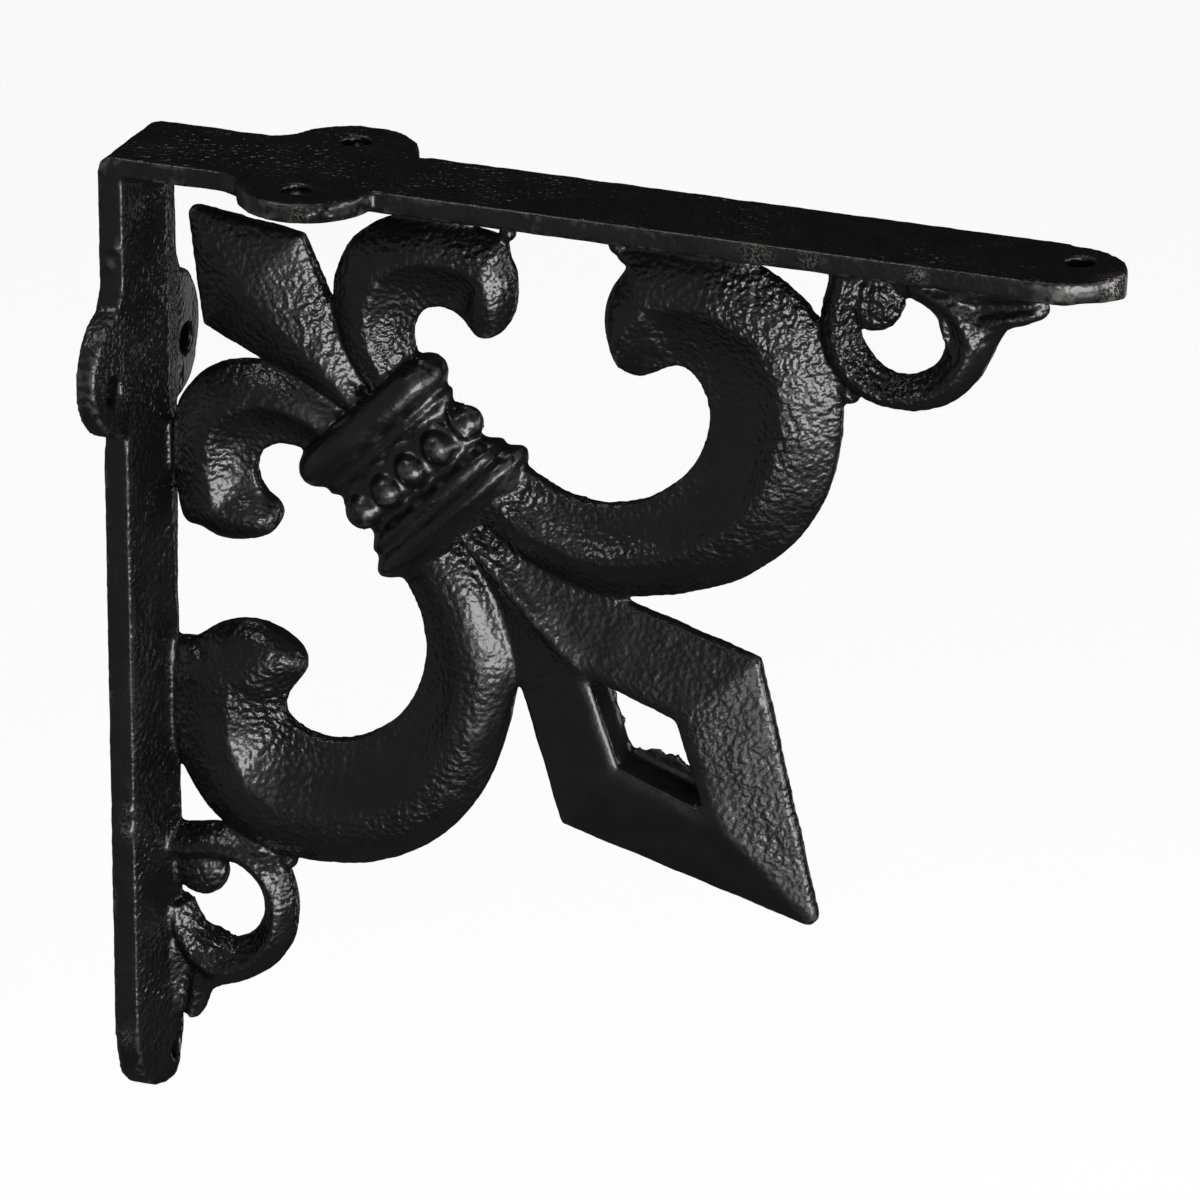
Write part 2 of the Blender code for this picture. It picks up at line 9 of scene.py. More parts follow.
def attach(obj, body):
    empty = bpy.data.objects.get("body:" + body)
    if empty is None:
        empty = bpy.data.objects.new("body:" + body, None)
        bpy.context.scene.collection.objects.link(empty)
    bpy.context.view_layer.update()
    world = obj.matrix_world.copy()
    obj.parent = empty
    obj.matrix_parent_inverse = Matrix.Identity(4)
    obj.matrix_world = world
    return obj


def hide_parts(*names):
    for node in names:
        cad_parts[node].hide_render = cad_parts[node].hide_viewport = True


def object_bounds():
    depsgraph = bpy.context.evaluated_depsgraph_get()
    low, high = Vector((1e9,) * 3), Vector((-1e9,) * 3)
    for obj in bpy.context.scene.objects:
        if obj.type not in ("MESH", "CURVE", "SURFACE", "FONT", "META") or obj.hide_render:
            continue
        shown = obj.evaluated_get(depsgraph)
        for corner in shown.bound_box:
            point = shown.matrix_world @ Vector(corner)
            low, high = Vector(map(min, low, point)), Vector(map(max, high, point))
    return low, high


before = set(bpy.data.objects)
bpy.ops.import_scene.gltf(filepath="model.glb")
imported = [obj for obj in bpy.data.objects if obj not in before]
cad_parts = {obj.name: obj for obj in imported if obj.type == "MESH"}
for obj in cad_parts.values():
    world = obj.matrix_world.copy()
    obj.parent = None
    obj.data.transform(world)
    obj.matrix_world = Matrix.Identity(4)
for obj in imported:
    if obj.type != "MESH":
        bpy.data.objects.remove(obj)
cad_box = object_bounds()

MM = 0.001

# Flanges, in millimetres: distances run from the outer corner towards each tip. The script works in
# millimetres until a mesh is written, except for the studio.
SHELF_ARM = 184.8
WALL_ARM = 182.6
HALF_WIDTH = 10.1
CORNER_HALF_WIDTH = 10.7
CORNER_RADIUS = 2.6
SHELF_TOP = 42.0
EAR_RADIUS = 12.3
EAR_OUT = 9.4
SHELF_EAR = 39.2
WALL_EAR = 39.8
EAR_START_DEG = 164.0
EAR_END_DEG = 3.0
EAR_STEPS = 30
EAR_BLEND = 4.0
EAR_REACH = 24.0
PRESS_ABOVE = 5.0
PRESS_HEIGHT = 25.0
TIP_LENGTH = 14.0
TIP_FULLNESS = 2.2
TIP_STEPS = 24

# Thickness along each flange: distance from the corner, then at the near ear's rim, at the near side, on the
# ridge, at the far side and at the far ear's rim
SHELF_THICKNESS = (
    (-5.0, 3.3, 3.7, 8.0, 3.7, 3.3),
    (27.0, 3.0, 3.7, 8.0, 3.7, 3.0),
    (44.0, 3.6, 3.7, 8.0, 3.7, 3.6),
    (52.0, 5.8, 3.7, 8.0, 3.7, 5.8),
    (168.0, 3.7, 3.7, 8.0, 3.7, 3.7),
    (177.0, 3.7, 3.7, 7.3, 3.7, 3.7),
    (189.8, 3.5, 3.5, 4.4, 3.5, 3.5),
)
WALL_THICKNESS = (
    (-5.0, 3.4, 4.7, 7.2, 5.5, 4.7),
    (44.0, 3.4, 4.7, 7.3, 5.5, 4.7),
    (62.0, 5.2, 4.7, 7.5, 5.4, 5.2),
    (90.0, 4.7, 4.7, 8.2, 4.9, 4.7),
    (175.0, 4.6, 4.6, 8.1, 4.6, 4.6),
    (187.6, 4.0, 4.0, 5.6, 4.0, 4.0),
)
SCREW_HOLE = 5.3
SHELF_SCREW = 38.9
SHELF_SCREW_OUT = 13.5
WALL_SCREW_OUT = 14.6
TIP_SCREW = 176.0
DRILL_SIDES = 40
DRILL_LENGTH = 30.0
TIP_CHIP = ((186.4, -4.2, 43.4), (2.6, 3.4, 2.9))
CORNER_STEPS = 10
CORNER_MARGIN = 5.0
CORNER_REACH = 15.0

# Ornament
ORNAMENT_Y = 2.5
RIM = 1.1
SCROLL_DEPTH = 5.6
PETAL_DEPTH = 5.2
SMALL_DEPTH = 4.9
TAIL_DEPTH = 4.2

# Points that face each other across a form's crest, in millimetres: outer side across and along the
# diagonal, inner side across and along it, share of the form's depth
PETAL = (
    (3.4, 65.0, 14.0, 65.0, 0.8),
    (3.6, 60.5, 14.9, 62.2, 0.9),
    (5.0, 53.8, 16.6, 59.8, 1.0),
    (8.5, 47.2, 18.3, 58.4, 1.0),
    (13.7, 42.5, 20.2, 57.8, 1.0),
    (20.6, 40.0, 22.0, 57.6, 1.0),
    (28.6, 41.4, 24.0, 58.3, 1.0),
    (35.4, 46.5, 25.6, 59.6, 1.0),
    (40.0, 52.4, 26.4, 60.9, 1.0),
    (43.2, 57.6, 26.7, 62.1, 1.0),
    (41.5, 60.6, 26.9, 63.3, 1.0),
    (40.1, 64.0, 26.8, 64.8, 0.95),
    (37.0, 67.1, 26.7, 66.4, 0.85),
    (33.6, 69.1, 27.0, 67.7, 0.7),
    (30.6, 69.7, 28.2, 68.9, 0.4),
)
LARGE_SCROLL = (
    (3.0, 89.0, 16.2, 88.5, 0.85),
    (2.6, 94.5, 17.2, 93.0, 0.95),
    (3.6, 100.0, 19.0, 98.0, 1.0),
    (6.6, 107.8, 22.3, 102.5, 1.0),
    (11.0, 115.6, 26.0, 105.7, 1.0),
    (17.6, 120.8, 30.5, 107.9, 1.0),
    (25.5, 125.6, 35.4, 109.0, 1.0),
    (34.5, 129.2, 40.6, 109.0, 1.0),
    (44.5, 130.6, 45.6, 107.8, 1.0),
    (54.2, 129.1, 49.9, 105.4, 1.0),
    (62.8, 125.2, 52.9, 102.2, 1.0),
    (70.8, 118.8, 54.1, 99.4, 1.0),
    (76.7, 111.2, 54.5, 97.6, 1.0),
    (79.5, 102.5, 54.5, 96.6, 1.0),
    (78.7, 93.6, 54.3, 96.0, 1.0),
    (75.0, 85.0, 54.1, 95.4, 1.0),
    (68.1, 78.0, 53.7, 94.8, 1.0),
    (61.4, 72.9, 53.3, 94.4, 1.0),
    (59.0, 75.0, 52.7, 93.8, 1.0),
    (53.9, 76.1, 50.8, 92.8, 1.0),
    (49.7, 78.3, 48.4, 92.0, 0.95),
    (46.8, 81.5, 46.7, 91.4, 0.85),
    (45.3, 85.1, 45.6, 90.7, 0.65),
    (44.7, 88.3, 45.0, 89.7, 0.35),
)
SMALL_SCROLL = (
    (90.5, 96.5, 92.0, 103.0, 0.9),
    (85.4, 99.8, 88.6, 105.8, 1.0),
    (80.2, 103.6, 85.6, 108.2, 1.0),
    (76.8, 108.7, 83.3, 110.6, 1.0),
    (75.7, 114.4, 82.5, 114.0, 1.0),
    (76.9, 119.4, 83.0, 117.5, 1.0),
    (80.1, 124.0, 85.2, 120.4, 1.0),
    (85.0, 127.7, 88.2, 121.8, 1.0),
    (91.2, 129.3, 91.4, 122.1, 1.0),
    (97.3, 128.4, 94.5, 121.0, 1.0),
    (102.9, 125.5, 96.8, 118.6, 1.0),
    (104.6, 119.4, 97.4, 115.9, 0.95),
    (103.0, 113.0, 96.9, 113.0, 0.9),
    (100.0, 108.0, 95.9, 110.6, 0.8),
)
TAIL = (
    (93.0, 129.0, 95.8, 121.0, 0.8),
    (98.5, 128.0, 98.2, 115.0, 0.85),
    (102.6, 126.4, 102.2, 112.4, 0.85),
    (105.8, 125.6, 106.2, 115.4, 0.8),
    (109.2, 127.0, 110.6, 119.8, 0.75),
    (112.0, 127.9, 114.0, 123.4, 0.6),
)
# The lower scroll's head differs: its last sections
WALL_SIDE_HEAD = (
    (58.4, 74.8, 52.6, 94.0, 1.0),
    (53.0, 75.7, 50.6, 93.2, 1.0),
    (48.5, 77.7, 48.0, 92.8, 0.95),
    (45.4, 81.0, 46.2, 92.4, 0.85),
    (44.1, 85.0, 45.0, 91.9, 0.65),
    (43.6, 88.6, 44.2, 90.8, 0.35),
)

# Where the crest runs on each form, from its start to its end: -1 is the outer rim, 1 the inner rim
PETAL_CREST = (0.0, 0.0, 0.04, -0.1, -0.14, 0.0, 0.08)
WALL_PETAL_CREST = (-0.2, -0.1, 0.0, 0.08, 0.02, 0.15, 0.25)
SCROLL_CREST = (0.04, -0.04, -0.1, -0.2, -0.1, -0.1, -0.06)
WALL_SCROLL_CREST = (0.1, 0.1, -0.12, -0.14, 0.2, 0.14, 0.0)
SMALL_CREST = (0.24, 0.16, 0.0, -0.14, -0.1)
TAIL_CREST = (-0.08, -0.08)

BUD_PLACE = (89.8, 107.1)
BUD_RADIUS = 5.4
BUD_DEPTH = 3.0

# Mouldings of the collar: place along the diagonal, half width, half depth
COLLAR_LINES = (
    (62.6, 14.6, 5.4),
    (63.6, 16.3, 7.0),
    (65.0, 17.4, 8.0),
    (66.8, 17.6, 8.3),
    (68.4, 17.0, 7.7),
    (69.6, 15.8, 6.2),
    (70.3, 15.2, 5.4),
    (71.2, 15.6, 6.2),
    (71.9, 15.2, 5.6),
    (72.6, 14.5, 4.8),
    (73.8, 14.2, 4.6),
    (80.6, 14.2, 4.6),
    (81.8, 14.6, 5.0),
    (82.9, 15.7, 6.3),
    (83.8, 16.5, 7.1),
    (84.6, 16.3, 6.6),
    (85.1, 16.2, 6.2),
    (85.9, 17.2, 7.1),
    (86.9, 18.3, 8.2),
    (88.1, 18.5, 8.4),
    (89.4, 17.6, 7.3),
    (90.5, 16.2, 5.8),
    (92.0, 15.4, 5.2),
)
COLLAR_ACROSS = -0.7
COLLAR_SIDES = 48
SQUARENESS = 2.8
BEAD_SEAT = (14.2, 4.6)
BEAD_ROW = 77.4
BEAD_START = -4.1
BEADS = 10
BEAD_SIZE = (3.0, 3.3, 3.3)
BEAD_SINK = -0.3
ARCH_SIZE = (3.5, 4.2)
ARCH_THICKNESS = 0.42
ARCH_START_DEG = -40.0
ARCH_SWEEP_DEG = 260.0
ARCH_SIDES = 8

# Middle petal: half width and place along the diagonal of its tip, shoulder and foot
SPEAR_TIP = (0.6, 17.2)
SPEAR_SHOULDER = (13.6, 33.8)
SPEAR_FOOT = (2.4, 62.5)
SPEAR_DEPTH = 5.2
SPEAR_FOOT_DEPTH = 4.2
SPEAR_RIM = 1.3
SPEAR_FULLNESS = 1.55
SPEAR_TIP_RISE = 1.6
SPEAR_RINGS = 30
SPEAR_SECTION = (-1.0, -0.9, -0.75, -0.6, -0.42, -0.25, -0.1, 0.0, 0.1, 0.25, 0.42, 0.6, 0.75, 0.9, 1.0)

# Pendant: across, along and half thickness of its hole's and its edge's points on the shelf side
PENDANT_HOLE = (
    (0.4, 126.5, 5.2),
    (1.4, 128.3, 5.2),
    (2.4, 130.2, 5.2),
    (7.7, 141.0, 5.2),
    (0.4, 155.5, 5.2),
)
PENDANT_EDGE = (
    (0.6, 90.0, 5.2),
    (2.6, 90.0, 1.3),
    (5.0, 103.0, 1.3),
    (26.8, 142.3, 1.3),
    (1.0, 184.4, 1.3),
)
PENDANT_SHARES = (0.0, 0.05, 0.1, 0.17, 0.25, 0.45, 0.7, 0.88, 0.96, 1.0)
PENDANT_SWELL = 1.12
PENDANT_LIP = 1.1
PENDANT_LIP_SHARE = 0.22
WALL_SIDE_SHARE = 0.955

# Fin in the pendant's hole: its corners across and along, the share of its run at the middle one, its width on
# the upper edge, at the lower edge's ends and its swell between them, and its ragged waves (height, rate, phase)
FLASH_CORNERS = ((-1.6, 129.2), (-7.6, 140.8), (0.0, 155.2))
FLASH_TURN = 0.35
FLASH_WIDTHS = (0.5, 0.9, 2.2)
FLASH_SWELL = (1.15, 0.7)
FLASH_WAVES = ((0.35, 41.0, 0.0), (0.28, 97.0, 1.0))
FLASH_LEAST = 0.2
FLASH_ROOT = 1.2
FLASH_LEAN = 0.35
FLASH_STEPS = 60
FLASH_DEPTH = 3.4
FLASH_THICKNESS = 0.35

# Webs and nubs left by the casting: across, along, depth to the back, half sizes across, in depth, along
ORNAMENT_LUMPS = (
    (96.8, 108.3, 0.0, 3.4, 1.8, 2.6),
    (44.6, 57.2, 0.0, 1.5, 1.8, 1.6),
    (59.4, 73.6, 0.0, 1.6, 2.0, 1.6),
    (74.6, 116.4, 0.0, 2.0, 2.0, 2.2),
    (-74.6, 116.4, 0.0, 1.6, 2.0, 1.6),
    (12.4, 117.4, 0.0, 2.2, 1.6, 2.6),
    (-12.9, 116.6, 0.6, 2.2, 1.4, 2.8),
    (-11.4, 113.0, 2.6, 1.6, 1.4, 1.6),
    (112.6, 126.4, 0.0, 2.2, 1.6, 1.8),
    (93.2, 110.4, 0.0, 1.2, 1.6, 1.2),
    (75.6, 87.2, 0.0, 2.4, 1.8, 2.0),
    (59.4, 71.4, 0.0, 1.6, 2.2, 1.6),
)

# Nodules on the flanges: place and half sizes in the bracket's own frame
FLANGE_LUMPS = (
    ((2.8, -10.4, 25.4), (1.6, 0.9, 1.4)),
    ((1.6, -10.5, 22.0), (1.2, 0.8, 1.6)),
    ((3.6, -9.9, -82.6), (1.3, 0.8, 1.1)),
    ((3.4, -9.9, -86.6), (1.5, 0.9, 1.7)),
    ((1.4, -9.9, -86.4), (0.9, 0.7, 1.1)),
    ((151.1, -9.9, 40.6), (1.6, 0.7, 1.1)),
    ((133.7, -9.9, 40.4), (1.2, 0.6, 0.9)),
    ((130.2, -9.9, 40.0), (0.9, 0.5, 0.8)),
    ((167.5, -9.8, 39.8), (0.9, 0.7, 0.8)),
    ((173.6, -8.9, 40.0), (1.3, 0.9, 1.3)),
    ((177.7, -7.9, 40.2), (1.7, 1.0, 1.5)),
    ((42.9, -21.0, 40.4), (2.4, 0.6, 1.0)),
    ((47.6, -20.2, 40.6), (1.6, 0.8, 0.9)),
)

GUIDE_STEPS = 6
HEAD_SPAN = (0.58, 0.78)
SEAT_STEPS = 240
ARCH_STEPS = 20
CREST = -0.08
SECTION = (-1.0, -0.96, -0.88, -0.75, -0.6, -0.42, -0.25, -0.14, CREST, 0.02, 0.15, 0.32, 0.5, 0.7, 0.88, 1.0)

# Shape of a section: fullness outside the crest, hollow inside it, share of the height at the inner rim
PETAL_SHAPE = (2.2, 2.1, 0.1)
SCROLL_SHAPE = (1.55, 2.2, 0.08)
SCROLL_HEAD_SHAPE = (2.1, 1.6, 0.05)
WALL_SCROLL_SHAPE = (3.0, 2.0, 0.1)
NARROW_SHAPE = (2.0, 1.05, 0.0)
KNOB_FULLNESS = 2.1

# A tail's two lips (place across it and width), the height between them and how steeply its rims rise
LIPS = ((-0.5, 0.26), (0.62, 0.22))
LIP_HOLLOW = 0.3
LIP_RIM = 4.0

# How pebbled the cast skin is, from 0 to 1
PLAIN_SKIN = 0.42
COLLAR_SKIN = 0.1
PENDANT_SKIN = 0.08
TOP_SKIN = 0.38
WALL_SKIN = 0.52
SIDE_SKIN = 0.12
PENDANT_SHELF_SKIN = 0.25
UNDERSIDE_SHARE = 0.3

# Where each kind of skin runs on the casting, in millimetres
COLLAR_RUN = (62.0, 91.5)
COLLAR_HALF_WIDTH = 19.0
PENDANT_START = 122.0
PENDANT_HALF_WIDTH = 28.0
PENDANT_MIDDLE = 2.0
FLANGE_BAND = 8.3
FAR_EAR_MARGIN = 1.5
SKIN_BLENDS = 3

# Where the skin is rougher: across, along, radius, amount
ROUGH_SPOTS = (
    (76.4, 94.0, 10.0, 0.75),
    (74.5, 106.0, 8.0, 0.45),
    (62.0, 113.0, 8.0, 0.25),
    (14.2, 93.5, 7.0, 0.5),
    (2.3, 97.0, 6.0, 0.5),
    (-54.0, 98.5, 7.0, 0.55),
    (-55.8, 87.8, 6.0, 0.45),
    (38.4, 54.0, 5.0, 0.5),
    (13.6, 57.0, 5.0, 0.4),
    (-27.7, 58.0, 6.0, 0.25),
    (10.2, 43.0, 7.0, 0.35),
    (3.1, 26.0, 8.0, 0.35),
    (11.2, 116.3, 5.0, 0.3),
    (84.0, 118.0, 9.0, 0.55),
    (92.0, 108.5, 5.0, 0.6),
    (-96.5, 116.0, 6.0, 0.6),
    (-92.0, 107.0, 5.0, 0.5),
)

# Pale speckled spots: a chip in the paint at the shelf's tip, and elsewhere painted glints on nodules and the
# flanges' near sides. Place in the bracket's own frame, radius, amount
CHIP_AND_GLINT_SPOTS = (
    (184.6, -3.6, 41.0, 2.4, 1.0),
    (177.7, -8.6, 40.2, 1.4, 0.3),
    (151.1, -10.1, 40.6, 1.6, 0.3),
    (122.0, -10.1, 40.4, 2.8, 0.22),
    (132.0, -10.1, 40.2, 2.0, 0.22),
    (3.4, -10.1, -86.6, 1.6, 0.3),
    (3.6, -10.1, -82.6, 1.2, 0.3),
    (43.0, -21.3, 40.6, 2.0, 0.3),
    (2.4, -10.4, -128.0, 1.6, 0.25),
)

# Relief of the skin: size and height in millimetres, the second only where the skin is pebbled
PEBBLED_RELIEF = "grain"
RELIEF = (("waves", 5.2, 0.34), (PEBBLED_RELIEF, 1.2, 0.45))
SKIN_LEVELS = 20

# Edges worn to grey: points blended to find what stands proud, blends of the result, and the most it reaches
WIDE_BLENDS = 6
PROUD_BLENDS = 2
PROUD_REACH = 0.35

MESH_STEP = 0.56
SOFTENING = 0.5
SOFTENING_ROUNDS = 3
FACE_LIMIT = 196000

# Paint and its skin: noises are given by scale, detail and roughness
DEEP_PAINT = (0.0022, 0.0022, 0.0024, 1.0)
PALE_PAINT = (0.0060, 0.0059, 0.0060, 1.0)
WORN_PAINT = (0.045, 0.044, 0.043, 1.0)
# Pale grey for the chipped paint at the shelf's tip, and for painted glints on nodules and flange sides
PALE_CHIP_AND_GLINT = (0.26, 0.25, 0.24, 1.0)
PAINT_ROUGHNESS = (0.17, 0.27)
MOTTLE = (140.0, 3.0, 0.55)
MOTTLE_RANGE = (0.3, 0.7)
WORN_RANGE = (0.82, 1.0)
WEAR_BREAKS = (850.0, 0.6, 0.4)
WEAR_BREAK_RANGE = (0.42, 0.62)
SPECKS = (2600.0, 1.0, 0.5)
SPECK_RANGE = (0.5, 0.6)
PEBBLES = (980.0, 0.0, 0.5)
FINE_PEBBLES = (1900.0, 0.0, 0.5)
FINE_SHARE = 0.3
PATCHES = (60.0, 1.0, 0.5)
PATCH_RANGE = (0.35, 0.62)
PATCH_STRENGTH = (0.45, 1.0)
PEBBLE_HEIGHT = 0.8

# Studio, in metres
WHITE = (1.0, 1.0, 1.0, 1.0)
FLOOR_SIZE = 16.0
FLOOR_HEIGHT = -0.6
FLOOR_COLOUR = (0.3, 0.3, 0.3, 1.0)
FLOOR_ROUGHNESS = 0.9
FLOOR_BRIGHTNESS = 0.86
BRACKET_MIDDLE = (0.07, 0.0, -0.05)
LAMP_DISTANCE = 1.4

# Soft lights: azimuth and elevation seen from the bracket, width, height, brightness
SOFTBOXES = (
    ("right_softbox", 44.0, 0.0, 0.95, 0.74, 9.5),
    ("far_right_softbox", 92.0, 4.0, 0.9, 0.5, 5.0),
    ("front_panel", 17.0, -19.0, 0.35, 0.5, 2.4),
    ("back_right_strip", 126.0, 10.0, 0.3, 0.5, 3.0),
    ("top_panel", 0.0, 78.0, 1.0, 1.0, 0.4),
    ("back_left_panel", -150.0, 54.0, 0.3, 0.3, 2.5),
    ("upper_left_strip", -41.0, 59.0, 0.45, 0.4, 4.0),
    ("low_rear_panel", 169.0, -22.0, 0.3, 0.4, 0.6),
)

# Light from the walls of the studio: how bright from low to high, what share is left behind, and the glow
WALL_HEIGHTS = (-0.85, -0.3)
WALL_BRIGHTNESS = (0.08, 0.21)
WALL_REAR = (0.0, 0.75)
WALL_REAR_SHARE = (1.0, 0.09)
GLOW_WAY = (0.559, -0.829, -0.035)
GLOW_SPREAD = (0.58, 1.0)
GLOW_STRENGTH = 0.7

CAMERA_PLACE = (0.585653, -1.282631, 0.535323)
CAMERA_TURN_DEG = (67.57508, -0.2571, 21.22057)
CAMERA_LENS = 254.526
CAMERA_SENSOR = 36.0

DIAGONAL_SHARE = math.sqrt(0.5)
DIAGONAL = Matrix(
    (
        (DIAGONAL_SHARE, 0.0, -DIAGONAL_SHARE, 0.0),
        (0.0, 1.0, 0.0, ORNAMENT_Y * MM),
        (DIAGONAL_SHARE, 0.0, DIAGONAL_SHARE, SHELF_TOP * MM),
        (0.0, 0.0, 0.0, 1.0),
    )
)


def deselect_all():
    if bpy.context.mode != "OBJECT":
        bpy.ops.object.mode_set(mode="OBJECT")
    bpy.ops.object.select_all(action="DESELECT")


def take(item):
    """Makes item the one selected and active object."""
    deselect_all()
    item.select_set(True)
    bpy.context.view_layer.objects.active = item


def named(name):
    item = bpy.context.object
    item.name = name
    item.data.name = name
    return item


def apply_modifiers(item):
    take(item)
    for step in list(item.modifiers):
        bpy.ops.object.modifier_apply(modifier=step.name)


def apply_place(item):
    take(item)
    bpy.ops.object.transform_apply(location=True, rotation=True, scale=True)


def face_outwards(item):
    take(item)
    bpy.ops.object.mode_set(mode="EDIT")
    bpy.ops.mesh.select_all(action="SELECT")
    bpy.ops.mesh.remove_doubles(threshold=0.00001)
    bpy.ops.mesh.normals_make_consistent(inside=False)
    bpy.ops.object.mode_set(mode="OBJECT")


def joined(name, items):
    take(items[0])
    for item in items:
        item.select_set(True)
    bpy.ops.object.join()
    return named(name)


def cut(item, cutter, operation="DIFFERENCE"):
    step = item.modifiers.new("cut", "BOOLEAN")
    step.operation = operation
    step.solver = "EXACT"
    step.object = cutter
    apply_modifiers(item)
    bpy.data.objects.remove(cutter, do_unlink=True)


def loft(name, rings, closed=False):
    shape = bmesh.new()
    rows = [[shape.verts.new(Vector(point) * MM) for point in ring] for ring in rings]
    pairs = list(zip(rows, rows[1:]))
    if closed:
        pairs.append((rows[-1], rows[0]))
    for near, far in pairs:
        for i in range(len(near)):
            shape.faces.new((near[i - 1], near[i], far[i], far[i - 1]))
    if not closed:
        shape.faces.new(rows[0])
        shape.faces.new(rows[-1])
    bmesh.ops.triangulate(shape, faces=shape.faces)
    bmesh.ops.recalc_face_normals(shape, faces=shape.faces)
    mesh = bpy.data.meshes.new(name)
    shape.to_mesh(mesh)
    shape.free()
    item = bpy.data.objects.new(name, mesh)
    bpy.context.scene.collection.objects.link(item)
    return item


def smooth_guides(guides, steps):
    padded = [guides[0], *guides, guides[-1]]
    points = []
    for i in range(1, len(padded) - 2):
        before, start, end, after = padded[i - 1 : i + 3]
        for step in range(steps):
            t = step / steps
            points.append(
                tuple(
                    0.5 * (2 * b + (c - a) * t + (2 * a - 5 * b + 4 * c - d) * t**2 + (3 * b - a - 3 * c + d) * t**3)
                    for a, b, c, d in zip(before, start, end, after)
                )
            )
    points.append(guides[-1])
    return points


def crest_height(side, fullness, hollow, rim_share):
    """Share of the depth, from the outer rim at -1 to the inner rim at 1: round outside the crest, hollow inside."""
    if side < CREST:
        return 1 - ((CREST - side) / (CREST + 1)) ** fullness
    return rim_share + (1 - rim_share) * ((1 - side) / (1 - CREST)) ** hollow


def petal_section(side):
    return crest_height(side, *PETAL_SHAPE)


def knob_section(side):
    """A rounded head: a dome over both sides of the crest."""
    reach = CREST + 1 if side < CREST else 1 - CREST
    return 1 - (abs(side - CREST) / reach) ** KNOB_FULLNESS


def scroll_section(side):
    return crest_height(side, *SCROLL_SHAPE)


def scroll_head_section(side):
    return crest_height(side, *SCROLL_HEAD_SHAPE)


def wall_scroll_section(side):
    return crest_height(side, *WALL_SCROLL_SHAPE)


def narrow_section(side):
    return crest_height(side, *NARROW_SHAPE)


def lipped_section(side):
    """A tail: a lip along each of its edges and a hollow between them."""
    lips = max(math.exp(-(((side - place) / width) ** 2)) for place, width in LIPS)
    return (LIP_HOLLOW + (1 - LIP_HOLLOW) * lips) * min(1.0, LIP_RIM * (1 - abs(side)))


def crested(name, guides, crests, depth, section, head_section=None):
    """A scroll or petal: sections with a crest, on both faces, skinned along its guides to its head."""
    stations = smooth_guides(guides, GUIDE_STEPS)
    head_section = head_section or section
    rings = []
    for i, (outer_across, outer_along, inner_across, inner_along, share) in enumerate(stations):
        part_way = i / (len(stations) - 1)
        crest = np.interp(part_way, np.linspace(0.0, 1.0, len(crests)), crests)
        headwards = np.interp(part_way, HEAD_SPAN, (0.0, 1.0))
        front = []
        back = []
        for place in SECTION:
            if place < CREST:
                part = (place + 1) * (crest + 1) / (CREST + 1) / 2
            else:
                part = 1 - (1 - place) * (1 - crest) / (1 - CREST) / 2
            across = outer_across + (inner_across - outer_across) * part
            along = outer_along + (inner_along - outer_along) * part
            rise = section(place) * (1 - headwards) + head_section(place) * headwards
            height = RIM * min(1.0, 2 * share) + (depth * share - RIM) * rise
            front.append((across, -height, -along))
            back.append((across, height, -along))
        rings.append(front + back[::-1])
    return loft(name, rings)


def to_wall_side(item):
    """Mirrors a form drawn on the shelf side."""
    item.scale.x = -1.0
    apply_place(item)
    face_outwards(item)
    return item


def bud():
    deselect_all()
    bpy.ops.mesh.primitive_uv_sphere_add(segments=32, ring_count=16, radius=1.0)
    item = named("bud")
    item.scale = (BUD_RADIUS * MM, BUD_DEPTH * MM, BUD_RADIUS * MM)
    item.location = (BUD_PLACE[0] * MM, 0.0, -BUD_PLACE[1] * MM)
    apply_place(item)
    return item


def collar():
    rings = []
    for along, half_width, half_depth in COLLAR_LINES:
        ring = []
        for i in range(COLLAR_SIDES):
            angle = 2 * math.pi * i / COLLAR_SIDES
            across = abs(math.cos(angle)) ** (2 / SQUARENESS) * math.copysign(half_width, math.cos(angle))
            depth = abs(math.sin(angle)) ** (2 / SQUARENESS) * math.copysign(half_depth, math.sin(angle))
            ring.append((COLLAR_ACROSS + across, depth, -along))
        rings.append(ring)
    return loft("collar", rings)


def seat_places():
    """Places and outward directions evenly spaced round the collar's bead seat, across and in depth."""
    points = []
    for i in range(SEAT_STEPS + 1):
        angle = 2 * math.pi * i / SEAT_STEPS
        across = abs(math.sin(angle)) ** (2 / SQUARENESS) * math.copysign(BEAD_SEAT[0], math.sin(angle))
        depth = abs(math.cos(angle)) ** (2 / SQUARENESS) * math.copysign(BEAD_SEAT[1], -math.cos(angle))
        points.append(Vector((across, depth)))
    runs = [0.0]
    for near, far in zip(points, points[1:]):
        runs.append(runs[-1] + (far - near).length)
    places = []
    for i in range(BEADS):
        wanted = (BEAD_START + runs[-1] * i / BEADS) % runs[-1]
        after = next(k for k, run in enumerate(runs) if run > wanted)
        near, far = points[after - 1], points[after]
        step = (far - near).normalized()
        places.append((near.lerp(far, (wanted - runs[after - 1]) / (far - near).length), Vector((step.y, -step.x))))
    return places


